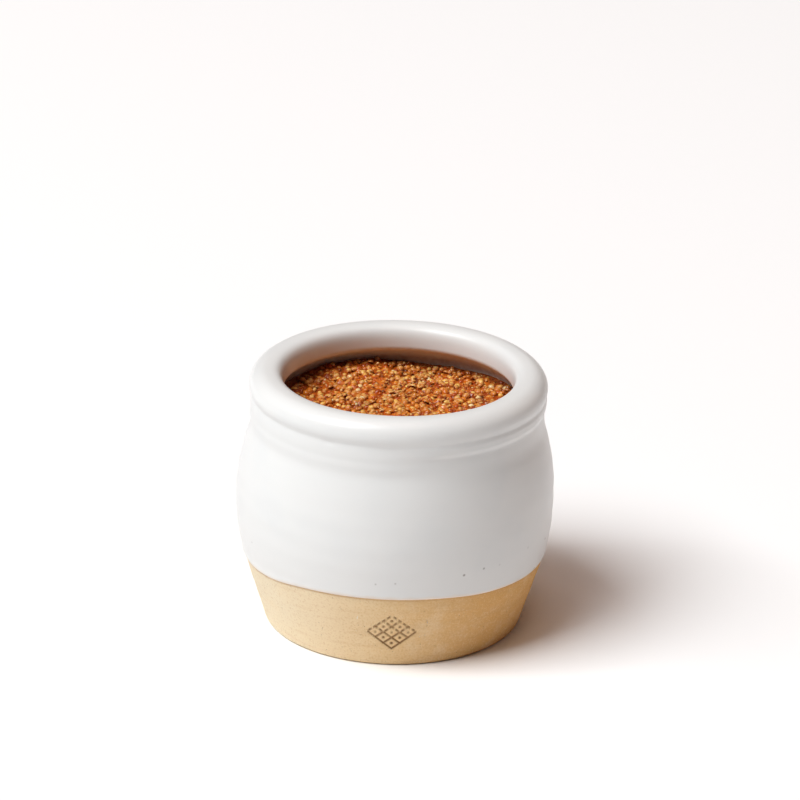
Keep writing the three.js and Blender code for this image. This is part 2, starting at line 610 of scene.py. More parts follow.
@dataclass(frozen=True)
class Grain:
    """One kind of grain in the mustard: its share of the grains, its size and its colours."""

    share: float
    width: float
    spread: float
    deep: Colour
    bright: Colour
    mottle_size: float = 0.6
    mottling: Fade = Fade(0.45, 0.75, 0.4)
    coat_wander: float = 0.9
    coating: Fade = Fade(0.2, -0.4, 0.75)
    wet_and_shade_share: float = 0.65

    def mix(self, name: str) -> bpy.types.Material:
        """Mixes the finish.

        Args:
            name: The material's name.

        Returns:
            The finish, with each grain's own tone, paste on its lower part, and painted shade near the wall
            and in hollows.
        """
        paste = MustardPaste()
        recipe = Recipe(name)
        colour = recipe.blend(recipe.stored("tone"), self.deep, self.bright)
        colour = recipe.lay(colour, self.deep, recipe.noise(self.mottle_size, 2.0), self.mottling)
        wander = recipe.work_out("MULTIPLY", recipe.noise(1.1, 1.0), self.coat_wander)
        bare = recipe.work_out("SUBTRACT", recipe.stored("rise"), wander)
        colour = recipe.lay(colour, paste.coat, bare, self.coating)
        # Painted shade, partly a damp edge: the grains are darkened near the wall and in hollows.
        wet_and_shade = recipe.work_out("MULTIPLY", recipe.stored("wet_and_shade"), self.wet_and_shade_share)
        colour = recipe.blend(wet_and_shade, colour, paste.dark)
        recipe.raise_by(recipe.noise(0.35, 1.0), 0.05)
        return recipe.finish(
            Base_Color=colour,
            Roughness=recipe.step(recipe.noise(1.3, 1.0), 0.4, 0.6, (0.16, 0.26)),
            Specular_IOR_Level=0.4,
            Subsurface_Weight=0.2,
            Subsurface_Scale=0.0006,
            Subsurface_Radius=(1.0, 0.5, 0.2),
        )


@dataclass(frozen=True)
class PaleBoard:
    """The plain pale surface that the pot stands on."""

    pale: Colour = (0.985, 0.975, 0.975)

    def mix(self) -> bpy.types.Material:
        """Mixes the finish."""
        recipe = Recipe("pale_board")
        return recipe.finish(Base_Color=self.pale, Roughness=0.9, Specular_IOR_Level=0.1)


# The pot


@dataclass(frozen=True)
class Unevenness:
    """A smooth waviness round the pot, the same on every run."""

    waves: tuple[int, ...]
    reaches: tuple[float, ...]
    starts: tuple[float, ...]

    def at(self, angle: np.ndarray) -> np.ndarray:
        """The waviness at some angles.

        Args:
            angle: Angles round the pot, in radians.

        Returns:
            A length for each, in millimetres.
        """
        parts = zip(self.waves, self.reaches, self.starts)
        return sum(reach * np.cos(wave * (angle - start)) for wave, reach, start in parts)


@dataclass(frozen=True)
class Fold:
    """A soft ridge round the pot at one height, or a groove if its rise is negative."""

    height: float
    spread: float
    rise: float

    def at(self, height: np.ndarray) -> np.ndarray:
        """How far it stands out at some heights.

        Args:
            height: Heights above the ground.

        Returns:
            A length for each, in millimetres.
        """
        return self.rise * np.exp(-(((height - self.height) / self.spread) ** 2))


@dataclass(frozen=True)
class PotForm:
    """The pot's outline: clay, coat of glaze, rim and inside."""

    foot_recess_radius: float = 27.0
    foot_recess_depth: float = 1.0
    foot_recess_slope: float = 1.2
    foot_rounding: float = 1.5
    taper_top: float = 17.0
    belly_radius: float = 44.85
    belly_height: float = 37.0
    belly_curve: float = 66.0
    belly_top: float = 57.0
    glaze_line: float = 22.7
    glaze_thickness: float = 0.25
    glaze_shoulder: float = 0.35
    glaze_bead: float = 0.13
    bead_height: float = 0.7
    bead_spread: float = 0.8
    edge_rows: tuple[float, ...] = (
        -1.2, -0.6, -0.25, -0.08, 0.0, 0.03, 0.09, 0.18, 0.3, 0.5, 0.8, 1.2, 1.8, 2.6,
    )
    waist: Pair = (41.15, 62.4)
    collar: Pair = (41.7, 65.2)
    crease: Pair = (41.35, 67.4)
    rim_centre: Pair = (37.2, 70.3)
    rim_outside: Pair = (4.8, 4.6)
    rim_inside: Pair = (4.8, 6.0)
    rim_fullness: float = 3.2
    rim_lip: Pair = (1.6, 1.8)
    rim_start: float = -24.0
    rim_end: float = 240.0
    floor_height: float = 6.0
    floor_rounding: float = 9.0
    inner_radius: float = 39.7
    inner_height: float = 42.0
    inner_curve: float = 80.0
    inner_top: float = 64.0

    @property
    def taper_lean(self) -> float:
        """How far the straight taper leans out, in radians."""
        return math.asin((self.belly_height - self.taper_top) / self.belly_curve)

    def clay_radius(self, height: np.ndarray) -> np.ndarray:
        """The clay's outer radius below the neck.

        Args:
            height: Heights above the ground.

        Returns:
            The radius at each.
        """
        on_arc = np.maximum(height, self.taper_top) - self.belly_height
        curved = self.belly_radius - self.belly_curve + np.sqrt(self.belly_curve**2 - on_arc**2)
        below = np.maximum(self.taper_top - height, 0)
        return curved - below * math.tan(self.taper_lean)

    def coat(self, above: np.ndarray) -> np.ndarray:
        """The glaze's thickness above its lower edge, where it gathers in a low bead.

        Args:
            above: Heights above the edge.

        Returns:
            The thickness at each.
        """
        share = np.clip(above / self.glaze_shoulder, 0, 1)
        climb = np.sqrt(share * (2 - share))
        bead = self.glaze_bead * np.exp(-(((above - self.bead_height) / self.bead_spread) ** 2))
        return climb * (self.glaze_thickness + bead)

    def wall_radius(self, height: np.ndarray) -> np.ndarray:
        """The inner wall's radius.

        Args:
            height: Heights above the ground.

        Returns:
            The radius at each.
        """
        off = height - self.inner_height
        return self.inner_radius - self.inner_curve + np.sqrt(self.inner_curve**2 - off**2)

    def inside(self, top: float, gap: float, wall_steps: int) -> np.ndarray:
        """The outline of the inside, from a height on the wall to the middle of the floor.

        Args:
            top: That height.
            gap: How far the outline stays inside the wall and the floor.
            wall_steps: How many steps the wall has.

        Returns:
            Rows of radius and height.
        """
        wall_centre = self.inner_radius - self.inner_curve
        corner_height = self.floor_height + self.floor_rounding
        reach = self.inner_curve - self.floor_rounding
        drop = self.inner_height - corner_height
        corner = (wall_centre + math.sqrt(reach**2 - drop**2), corner_height)
        meeting = -math.degrees(math.asin(drop / reach))
        start = math.degrees(math.asin((top - self.inner_height) / (self.inner_curve - gap)))
        wall = arc((wall_centre, self.inner_height), self.inner_curve - gap, start, meeting, wall_steps)
        turn = arc(corner, self.floor_rounding - gap, meeting, -90, 5)[1:]
        return np.vstack((wall, turn, [(turn[-1][0] / 2, turn[-1][1]), (0, turn[-1][1])]))

    def rim(self) -> np.ndarray:
        """The rim's roll: round outside, broad and full inside, with a tight turn under it.

        Returns:
            Rows of radius and height.
        """
        middle, height = self.rim_centre
        wide, tall = self.rim_outside
        angles = np.radians(np.linspace(self.rim_start, 90, 20))
        outside = np.column_stack((middle + wide * np.cos(angles), height + tall * np.sin(angles)))
        reach, drop = self.rim_inside
        side = height + tall - drop
        angles = np.radians(np.linspace(90, 180, 25))[1:]
        power = 2 / self.rim_fullness
        across = middle - reach * np.abs(np.cos(angles)) ** power
        inside = np.column_stack((across, side + drop * np.maximum(np.sin(angles), 0) ** power))
        wide, tall = self.rim_lip
        angles = np.radians(np.linspace(180, self.rim_end, 9))[1:]
        under = (middle - reach + wide * (1 + np.cos(angles)), side + tall * np.sin(angles))
        return np.vstack((outside, inside, np.column_stack(under)))

    def outline(self) -> np.ndarray:
        """The whole outline, up the outside, over the rim and down the inside.

        Returns:
            Rows of radius and height.
        """
        foot_radius = float(self.clay_radius(np.array(0.0)))
        lean = self.taper_lean
        edge_radius = foot_radius - self.foot_rounding * (1 - math.sin(lean)) / math.cos(lean)
        recess = [(radius, self.foot_recess_depth) for radius in np.linspace(0, self.foot_recess_radius, 5)]
        flat_start = self.foot_recess_radius + self.foot_recess_slope
        flat = [(radius, 0) for radius in np.linspace(flat_start, edge_radius, 4)[:-1]]
        rounding_centre = (edge_radius, self.foot_rounding)
        rounding = arc(rounding_centre, self.foot_rounding, -90, -math.degrees(lean), 6)
        edge = self.glaze_line + np.array(self.edge_rows)
        bare = np.linspace(rounding[-1][1], edge[0], 26)[1:-1]
        glazed = np.linspace(edge[-1], self.belly_top, 38)[1:]
        heights = np.concatenate((bare, edge, glazed))
        radii = self.clay_radius(heights) + self.coat(heights - self.glaze_line)
        belly = np.column_stack((radii, heights))
        rim = self.rim()
        neck_points = np.array((belly[-1], self.waist, self.collar, self.crease, rim[0]))
        neck = curve_through(neck_points, belly[-1] - belly[-2], rim[1] - rim[0], 7)
        inside = self.inside(self.inner_top, 0.0, 12)
        throat_points = np.array((rim[-1], inside[0]))
        throat = curve_through(throat_points, rim[-1] - rim[-2], inside[1] - inside[0], 8)
        return np.vstack((recess, flat, rounding, belly, neck, rim, throat, inside))


@dataclass(frozen=True)
class StampedLozenge:
    """A plain lozenge of crossed lines and dots, pressed into the foot and rubbed with brown."""

    height: float = 11.9
    half_width: float = 6.9
    half_height: float = 5.9
    cells: int = 3
    line: float = 0.3
    dot: float = 0.42
    edge: float = 0.2
    depth: float = 0.25

    def press(self, across: np.ndarray, up: np.ndarray) -> np.ndarray:
        """How deep the stamp goes at each place, as a share of its depth.

        Args:
            across: Distances sideways from the stamp's middle, along the clay.
            up: Heights above its middle.

        Returns:
            Numbers from 0, untouched, to 1, full depth.
        """
        cell = 2 / self.cells
        slope = math.hypot(1 / self.half_width, 1 / self.half_height)
        rising = across / self.half_width + up / self.half_height
        falling = across / self.half_width - up / self.half_height
        inside = np.maximum(np.abs(rising), np.abs(falling)) <= 1 + self.line * slope
        pressed = np.zeros_like(across)
        for way in (rising, falling):
            off = np.abs((way + 1) / cell - np.round((way + 1) / cell)) * cell / slope
            pressed = np.maximum(pressed, ease(off, self.line + self.edge, self.line - self.edge))
        middles = [(cell * (number + 0.5)) - 1 for number in range(self.cells)]
        for first in middles:
            for second in middles:
                off = np.hypot(
                    across - (first + second) / 2 * self.half_width,
                    up - (first - second) / 2 * self.half_height,
                )
                pressed = np.maximum(pressed, ease(off, self.dot + self.edge, self.dot - self.edge))
        return pressed * inside


@dataclass
class StonewarePot:
    """The pot, turned, dipped in glaze and stamped."""

    form: PotForm = field(default_factory=PotForm)
    stamp: StampedLozenge = field(default_factory=StampedLozenge)
    edge_waves: Unevenness = Unevenness(
        (0, 1, 2, 3, 4, 5, 6, 8, 13),
        (-0.752, 0.419, 0.562, 0.471, 0.196, 0.121, 0.108, 0.07, 0.035),
        (0.0, -1.337, -1.54, 0.442, -0.221, 0.377, -0.115, 0.197, 0.7),
    )
    rim_waves: Unevenness = Unevenness((1, 2, 3, 5), (0.05, 0.06, 0.03, 0.02), (-math.pi / 2,) * 4)
    single_crease: tuple[Fold, ...] = (Fold(61.8, 2.3, 0.5), Fold(65.3, 1.2, -0.2))
    double_crease: tuple[Fold, ...] = (Fold(67.1, 1.1, 0.45), Fold(64.1, 0.9, -0.22), Fold(61.8, 1.2, 0.1))
    double_from: Span = (-5.0, 20.0)
    double_to: Span = (150.0, 175.0)
    notch: Pair = (-27.0, 67.3)
    notch_size: Pair = (1.6, 0.7)
    notch_depth: float = 0.28
    edge_reach: Span = (9.0, 14.0)
    ring_pitch: float = 6.4
    ring_depth: float = 0.13
    lean: float = 0.42
    lean_heights: Span = (36.0, 54.0)
    smear_and_shade_heights: Span = (63.4, 65.8)
    steps: int = 288
    stamp_cuts: int = 3
    stamp_margin: float = 1.0
    front: float = -32.0
    skin: float = 0.3

    def build(self) -> Piece:
        """Builds and dresses the pot.

        Returns:
            The finished piece.
        """
        piece = turn_outline("stoneware_pot", self.form.outline(), self.steps)
        self._divide_under_stamp(piece)
        places = read_places(piece)
        above = self._height_above_edge(places)
        outer = self._is_outer(places)
        places = self._wave_glaze_edge(places, outer)
        pressed = self._press(places, outer)
        places = self._throw_by_hand(places, outer, pressed)
        write_places(piece, places)
        write_values(piece, "edge_height", above)
        write_values(piece, "stain", pressed)
        # Painted shade and reflection, partly smeared mustard: marks the inner wall just above the mustard
        # for a brown tint.
        smear_and_shade = self._is_inside(places) * ease(places[:, 2], self.smear_and_shade_heights[1], self.smear_and_shade_heights[0])
        write_values(piece, "smear_and_shade", smear_and_shade)
        self._dress(piece, above)
        return piece

    def _is_outer(self, places: np.ndarray) -> np.ndarray:
        """Which points lie on the outside, below the neck.

        Args:
            places: The points.

        Returns:
            One flag for each point.
        """
        radius = from_axis(places)
        height = places[:, 2]
        below_neck = (height > self.form.foot_rounding * 0.6) & (height < self.form.belly_top + 0.01)
        return below_neck & (radius > self.form.clay_radius(height) - self.skin)

    def _divide_under_stamp(self, piece: Piece) -> None:
        """Divides the faces under the stamp finely, and rounds them out to the clay again.

        Args:
            piece: The turned pot.
        """
        mesh = piece.data
        corners = read_places(piece)
        face_places = np.array([corners[list(face.vertices)].mean(axis=0) for face in mesh.polygons])
        chosen = self._is_by_stamp(face_places, self.stamp_margin)
        pick_up(piece)
        bpy.ops.object.mode_set(mode="EDIT")
        bpy.ops.mesh.select_mode(type="FACE")
        bpy.ops.mesh.select_all(action="DESELECT")
        bpy.ops.object.mode_set(mode="OBJECT")
        mesh.polygons.foreach_set("select", chosen)
        bpy.ops.object.mode_set(mode="EDIT")
        bpy.ops.mesh.subdivide(number_cuts=self.stamp_cuts)
        bpy.ops.object.mode_set(mode="OBJECT")
        places = read_places(piece)
        radius = from_axis(places)
        height = places[:, 2]
        moving = self._is_by_stamp(places, 2 * self.stamp_margin) & (height > self.form.foot_rounding)
        scale = np.where(moving, self.form.clay_radius(height) / np.maximum(radius, 1), 1)
        places[:, :2] *= scale[:, None]
        write_places(piece, places)

    def _is_by_stamp(self, places: np.ndarray, margin: float) -> np.ndarray:
        """Which points lie under the stamp or beside it, on the pot's front.

        Args:
            places: The points.
            margin: How far beside it they may lie.

        Returns:
            One flag for each point.
        """
        wide = np.abs(places[:, 0]) < self.stamp.half_width + margin
        tall = np.abs(places[:, 2] - self.stamp.height) < self.stamp.half_height + margin
        return wide & tall & (places[:, 1] < self.front)

    def _is_inside(self, places: np.ndarray) -> np.ndarray:
        """Which points lie on the inside, up to the rim's crest.

        Args:
            places: The points.

        Returns:
            One flag for each point.
        """
        radius = from_axis(places)
        height = places[:, 2]
        middle = (self.form.clay_radius(height) + self.form.wall_radius(height)) / 2
        limit = np.where(height > self.form.inner_top, self.form.rim_centre[0], middle)
        return (height > self.form.floor_height - 1) & (radius < limit)

    def _height_above_edge(self, places: np.ndarray) -> np.ndarray:
        """How far up each point lies from the glaze's lower edge, counted on over the rim.

        Args:
            places: The points, before the edge is waved.

        Returns:
            The height above the edge, and a height far above it for the inside.
        """
        height = places[:, 2]
        return np.where(self._is_inside(places), self.form.inner_top, height - self.form.glaze_line)

    def _wave_glaze_edge(self, places: np.ndarray, outer: np.ndarray) -> np.ndarray:
        """Lifts and lowers the glaze's edge round the pot, keeping every point on the clay's form.

        Args:
            places: The points.
            outer: Which of them lie on the outside.

        Returns:
            The moved points.
        """
        radius = from_axis(places)
        angle = np.arctan2(places[:, 1], places[:, 0])
        height = places[:, 2]
        coat = radius - self.form.clay_radius(height)
        above = height - self.form.glaze_line
        low, high = self.edge_reach
        share = np.where(above < 0, ease(above, -low, -1.3), ease(above, high, 2.7))
        lifted = height + share * self.edge_waves.at(angle)
        scale = np.where(outer, (self.form.clay_radius(lifted) + coat) / np.maximum(radius, 1), 1)
        moved = places * np.column_stack((scale, scale, np.ones_like(scale)))
        moved[:, 2] = np.where(outer, lifted, height)
        return moved

    def _press(self, places: np.ndarray, outer: np.ndarray) -> np.ndarray:
        """How deep the stamp is pressed in at each point.

        Args:
            places: The points.
            outer: Which of them lie on the outside.

        Returns:
            Numbers from 0 to 1.
        """
        radius = from_axis(places)
        front = outer & (places[:, 1] < 0)
        across = np.where(front, radius * np.arcsin(places[:, 0] / np.maximum(radius, 1)), 99.0)
        return self.stamp.press(across, places[:, 2] - self.stamp.height)

    def _throw_by_hand(self, places: np.ndarray, outer: np.ndarray, pressed: np.ndarray) -> np.ndarray:
        """Gives the form the faint spiral, sway and uneven rim of a pot thrown by hand.

        Args:
            places: The points.
            outer: Which of them lie on the outside.
            pressed: How deep the stamp goes at each.

        Returns:
            The moved points.
        """
        radius = np.maximum(from_axis(places), 1e-6)
        angle = np.arctan2(places[:, 1], places[:, 0])
        height = places[:, 2]
        spiral = np.sin(math.tau * height / self.ring_pitch + angle)
        slow = np.sin(math.tau * height / (2.7 * self.ring_pitch) - 2 * angle + 1)
        fade = ease(height, 2, 8) * ease(height, self.form.belly_top + 1, self.form.belly_top - 8)
        inward = self.ring_depth * (0.5 + 0.3 * spiral + 0.2 * slow) * fade * outer
        inward = inward + self.stamp.depth * pressed
        outwards = places[:, :2] / radius[:, None]
        moved = places.copy()
        moved[:, :2] -= outwards * inward[:, None]
        inside = self._is_inside(places)
        from_height, to_height = self.lean_heights
        wall_share = ease(height, self.form.inner_top, self.form.crease[1])
        moved[:, 0] += self.lean * np.where(inside, wall_share, ease(height, from_height, to_height))
        swell = self._fold_neck(angle, height) * ~inside
        moved[:, :2] += outwards * swell[:, None]
        on_rim = ease(height, self.form.crease[1], self.form.rim_centre[1] + self.form.rim_outside[1])
        lowest = sum(self.rim_waves.reaches)
        moved[:, 2] += on_rim * (self.rim_waves.at(angle) - lowest)
        return moved

    @staticmethod
    def _from_front(angle: np.ndarray) -> np.ndarray:
        """Angles counted in degrees from the front, positive on the right, up to 180 either way."""
        return (np.degrees(angle) + 270) % 360 - 180

    def _fold_neck(self, angle: np.ndarray, height: np.ndarray) -> np.ndarray:
        """How far the neck swells: it has one crease on the left and two on the right.

        Args:
            angle: Angles round the pot, in radians.
            height: Heights above the ground.

        Returns:
            A length for each place, in millimetres.
        """
        turn = self._from_front(angle)
        double = ease(turn, *self.double_from) * ease(turn, self.double_to[1], self.double_to[0])
        left = sum(fold.at(height) for fold in self.single_crease)
        right = sum(fold.at(height) for fold in self.double_crease)
        aside, up = turn - self.notch[0], height - self.notch[1]
        off = (aside / self.notch_size[0]) ** 2 + (up / self.notch_size[1]) ** 2
        above_belly = ease(height, self.form.belly_top - 1, self.form.belly_top + 3)
        return above_belly * (left * (1 - double) + right * double) - self.notch_depth * np.exp(-off)

    def _dress(self, piece: Piece, above: np.ndarray) -> None:
        """Gives bare clay and glaze their own faces.

        Args:
            piece: The pot.
            above: Each point's height above the glaze's edge.
        """
        piece.data.materials.append(BareClay().mix())
        piece.data.materials.append(WhiteGlaze().mix())
        glazed = [above[list(face.vertices)].mean() > 0 for face in piece.data.polygons]
        piece.data.polygons.foreach_set("material_index", np.array(glazed, dtype=np.int32))
        piece.data.update()


# The mustard


class GrainKind(Enum):
    """The grains in the mustard, each with its share, width, spread of widths and colours."""

    GOLDEN_SEEDS = Grain(0.26, 2.1, 0.25, (0.70, 0.30, 0.05), (0.91, 0.58, 0.15))
    AMBER_SEEDS = Grain(0.33, 2.05, 0.25, (0.58, 0.14, 0.01), (0.76, 0.28, 0.03))
    RUSSET_SEEDS = Grain(0.26, 1.95, 0.25, (0.34, 0.045, 0.004), (0.55, 0.10, 0.008))
    DARK_SEEDS = Grain(0.05, 1.6, 0.15, (0.14, 0.034, 0.008), (0.26, 0.07, 0.014))
    PALE_SEEDS = Grain(0.10, 2.05, 0.2, (0.80, 0.53, 0.22), (0.92, 0.74, 0.40))


class ScrapKind(Enum):
    """The scraps between the seeds, in the same terms."""

    HUSKS = Grain(0.5, 2.3, 0.5, (0.68, 0.28, 0.045), (0.90, 0.60, 0.20))
    PALE_CRUMBS = Grain(0.25, 0.9, 0.2, (0.70, 0.38, 0.10), (0.88, 0.62, 0.27))
    DARK_CRUMBS = Grain(0.25, 0.8, 0.15, (0.22, 0.042, 0.007), (0.40, 0.09, 0.014))


SEED_FORM: Factors = (1.0, 0.84, 0.76)
CRUMB_FORM: Factors = (1.0, 0.7, 0.6)
HUSK_CUT = 0.12
HUSK_WALL = 0.06


@dataclass
class GrainShape:
    """The points and faces of one small grain, one unit across."""

    places: np.ndarray
    faces: np.ndarray

    @classmethod
    def model(cls, kind: GrainKind | ScrapKind) -> GrainShape:
        """Models one grain and reads it. A husk is the top of a seed, with a thin wall.

        A cut mesh is numbered in another order on each run. Every point is bent by its number,
        so a husk's points are sorted by their places, and the faces of every grain are sorted too.

        Args:
            kind: What kind of grain it is.

        Returns:
            Its shape, as triangles.
        """
        put_down()
        if kind in (ScrapKind.PALE_CRUMBS, ScrapKind.DARK_CRUMBS):
            bpy.ops.mesh.primitive_ico_sphere_add(subdivisions=1, radius=0.5)
            bpy.ops.object.mode_set(mode="EDIT")
            bpy.ops.transform.resize(value=CRUMB_FORM)
        else:
            bpy.ops.mesh.primitive_uv_sphere_add(segments=8, ring_count=5, radius=0.5)
            bpy.ops.object.mode_set(mode="EDIT")
            bpy.ops.transform.resize(value=SEED_FORM)
        grain = bpy.context.object
        if kind is ScrapKind.HUSKS:
            bpy.ops.mesh.bisect(plane_co=(0, 0, HUSK_CUT), plane_no=(0, 0, 1), clear_inner=True)
            bpy.ops.mesh.select_all(action="SELECT")
            bpy.ops.mesh.solidify(thickness=HUSK_WALL)
        bpy.ops.mesh.select_all(action="SELECT")
        bpy.ops.mesh.quads_convert_to_tris()
        bpy.ops.object.mode_set(mode="OBJECT")
        places = read_places(grain) * MM
        faces = np.array([tuple(face.vertices) for face in grain.data.polygons])
        bpy.data.objects.remove(grain)
        if kind is ScrapKind.HUSKS:
            order = np.lexsort(places.round(5).T)
            places, faces = places[order], np.argsort(order)[faces]
        starts = faces.argmin(axis=1)
        faces = np.array(sorted(tuple(np.roll(face, -start)) for face, start in zip(faces, starts)))
        return cls(places - (places.max(axis=0) + places.min(axis=0)) / 2, faces)


@dataclass
class Mustard:
    """The filling: paste up to the level, with seeds, husks and crumbs in its surface."""

    form: PotForm = field(default_factory=PotForm)
    fill_level: float = 62.6
    lump_height: float = 0.5
    seed_gap: float = 0.84
    seed_tries: int = 9000
    seed_widths: Span = (1.3, 2.6)
    seed_inset: float = 0.45
    seed_drop: Span = (-0.6, 0.25)
    sunk: Span = (-0.2, 0.34)
    seed_dents: float = 0.035
    seed_stretch: float = 0.09
    scrap_count: int = 1300
    scrap_widths: Span = (0.4, 3.2)
    scrap_rise: Span = (0.15, 0.75)
    husk_tilt: float = 0.4
    clod_count: int = 120
    clod_reach: Span = (1.4, 4.2)
    clod_rise: Span = (-0.6, 0.65)
    lump_count: int = 1400
    lump_reach: Span = (0.45, 1.0)
    lump_rise: Span = (-0.15, 0.42)
    paste_drop: float = 0.28
    cling_start: float = 0.3
    cling_reach: float = 0.6
    wall_overlap: float = 0.06
    wall_creep: float = 0.7
    creep_width: float = 0.9
    # Painted shade, partly a damp edge: how far from the wall and how deep in the hollows the mustard is
    # darkened.
    wet_and_shade_width: float = 5.5
    shaded_hollow_depths: Span = (0.1, -0.7)
    hollow_shade_share: float = 0.7
    turns: int = 340
    rows: int = 125
    seed: int = 11
    clods: np.ndarray = field(init=False)
    lumps: np.ndarray = field(init=False)

    def __post_init__(self) -> None:
        """Draws the clods that the paste lies in, and the small lumps on them."""
        draw = np.random.default_rng(self.seed + 1)
        self.clods = self._draw_lumps(self.clod_count, self.clod_reach, self.clod_rise, draw)
        self.lumps = self._draw_lumps(self.lump_count, self.lump_reach, self.lump_rise, draw)

    @property
    def wall(self) -> float:
        """The inner wall's radius at the mustard's level."""
        return float(self.form.wall_radius(np.array(self.fill_level)))

    def build(self) -> list[Piece]:
        """Builds and dresses the filling.

        Returns:
            The paste and one piece for each kind of grain.
        """
        draw = np.random.default_rng(self.seed)
        middles, widths, kinds = self._sow(draw)
        pieces = [self._paste(middles, widths)]
        for number, kind in enumerate(GrainKind):
            chosen = kinds == number
            pieces.append(self._scatter(kind, middles[chosen], widths[chosen], draw))
        for kind in ScrapKind:
            places, sizes = self._drop_scraps(kind.value, draw)
            pieces.append(self._scatter(kind, places, sizes, draw))
        return pieces

    def level(self, x: np.ndarray, y: np.ndarray) -> np.ndarray:
        """The mustard's level, with the low lumps left by filling it in.

        Args:
            x: Places to the right.
            y: Places to the back.

        Returns:
            The height at each.
        """
        across = np.sin(0.13 * x + 0.06 * y + 0.8)
        along = np.cos(0.1 * y - 0.07 * x + 0.4)
        height = self.fill_level + self.lump_height * (across + along)
        return height + self._swell(self.clods, x, y)

    def _swell(self, lumps: np.ndarray, x: np.ndarray, y: np.ndarray) -> np.ndarray:
        """How far lumps and hollows raise the surface.

        Args:
            lumps: Rows of x, y, reach and rise.
            x: Places to the right.
            y: Places to the back.

        Returns:
            The height that they add at each place.
        """
        height = np.zeros_like(x)
        for lump_x, lump_y, reach, rise in lumps:
            height += rise * np.exp(-((x - lump_x) ** 2 + (y - lump_y) ** 2) / reach**2)
        return height

    def _draw_lumps(self, count: int, reach: Span, rise: Span, draw: np.random.Generator) -> np.ndarray:
        """Draws soft lumps and hollows all over the surface.

        Args:
            count: How many there are.
            reach: Their smallest and largest reach.
            rise: How deep and how high they go.
            draw: The draw of random numbers.

        Returns:
            Rows of x, y, reach and rise.
        """
        radius = np.sqrt(draw.random(count)) * self.wall
        angle = draw.random(count) * math.tau
        sizes = (draw.uniform(*reach, count), draw.uniform(*rise, count))
        return np.column_stack((radius * np.cos(angle), radius * np.sin(angle), *sizes))

    def wet_and_shade(self, places: np.ndarray) -> np.ndarray:
        """How far the mustard is darkened: partly a damp edge by the wall, and painted shade by the wall and
        in the hollows.

        Args:
            places: Some points in it.

        Returns:
            Numbers from 0 to 1.
        """
        by_wall = ease(from_axis(places), self.wall - self.wet_and_shade_width, self.wall - 1)
        hollow = ease(self._swell(self.clods, places[:, 0], places[:, 1]), *self.shaded_hollow_depths)
        return np.maximum(by_wall, self.hollow_shade_share * hollow)

    def _sow(self, draw: np.random.Generator) -> tuple[np.ndarray, np.ndarray, np.ndarray]:
        """Places the seeds so that they lie close but hardly cut into each other.

        Args:
            draw: The draw of random numbers.

        Returns:
            The seeds' middles, their widths and the number of each one's kind.
        """
        sorts = [kind.value for kind in GrainKind]
        shares = [sort.share for sort in sorts]
        cell = self.seed_widths[1]
        cells: dict[tuple[int, int], list[tuple[float, float, float]]] = {}
        middles, widths, kinds = [], [], []
        for _ in range(self.seed_tries):
            number = draw.choice(len(sorts), p=shares)
            width = float(np.clip(draw.normal(sorts[number].width, sorts[number].spread), *self.seed_widths))
            radius = math.sqrt(draw.random()) * (self.wall - width * self.seed_inset)
            angle = draw.random() * math.tau
            x, y = radius * math.cos(angle), radius * math.sin(angle)
            column, row = int(x // cell), int(y // cell)
            near = [
                seed
                for i in (column - 1, column, column + 1)
                for j in (row - 1, row, row + 1)
                for seed in cells.get((i, j), ())
            ]
            if any(math.hypot(x - a, y - b) < self.seed_gap * (width + w) / 2 for a, b, w in near):
                continue
            cells.setdefault((column, row), []).append((x, y, width))
            middles.append((x, y))
            widths.append(width)
            kinds.append(number)
        flat = np.array(middles)
        height = self.level(flat[:, 0], flat[:, 1]) + draw.uniform(*self.seed_drop, len(flat))
        return np.column_stack((flat, height)), np.array(widths), np.array(kinds)

    def _drop_scraps(self, sort: Grain, draw: np.random.Generator) -> tuple[np.ndarray, np.ndarray]:
        """Places scraps at random over the surface.

        Args:
            sort: The kind of scrap.
            draw: The draw of random numbers.

        Returns:
            Their middles and their widths.
        """
        count = round(self.scrap_count * sort.share)
        radius = np.sqrt(draw.random(count)) * (self.wall - sort.width / 2)
        angle = draw.random(count) * math.tau
        x, y = radius * np.cos(angle), radius * np.sin(angle)
        height = self.level(x, y) + draw.uniform(*self.scrap_rise, count)
        widths = np.clip(draw.normal(sort.width, sort.spread, count), *self.scrap_widths)
        return np.column_stack((x, y, height)), widths

    def _tumble(self, count: int, draw: np.random.Generator) -> np.ndarray:
        """Turns in every direction.

        Args:
            count: How many are wanted.
            draw: The draw of random numbers.

        Returns:
            One turning matrix for each.
        """
        turns = np.linalg.qr(draw.normal(size=(count, 3, 3)))[0]
        turns[np.linalg.det(turns) < 0] *= -1
        return turns

    def _lay_down(self, count: int, draw: np.random.Generator) -> np.ndarray:
        """Turns that leave a grain lying almost flat.

        Args:
            count: How many are wanted.
            draw: The draw of random numbers.

        Returns:
            One turning matrix for each.
        """
        up = np.column_stack((draw.normal(0, self.husk_tilt, (count, 2)), np.ones(count)))
        up /= np.linalg.norm(up, axis=1, keepdims=True)
        angle = draw.random(count) * math.tau
        side = np.cross(up, np.column_stack((np.cos(angle), np.sin(angle), np.zeros(count))))
        side /= np.linalg.norm(side, axis=1, keepdims=True)
        return np.stack((np.cross(side, up), side, up), axis=2)

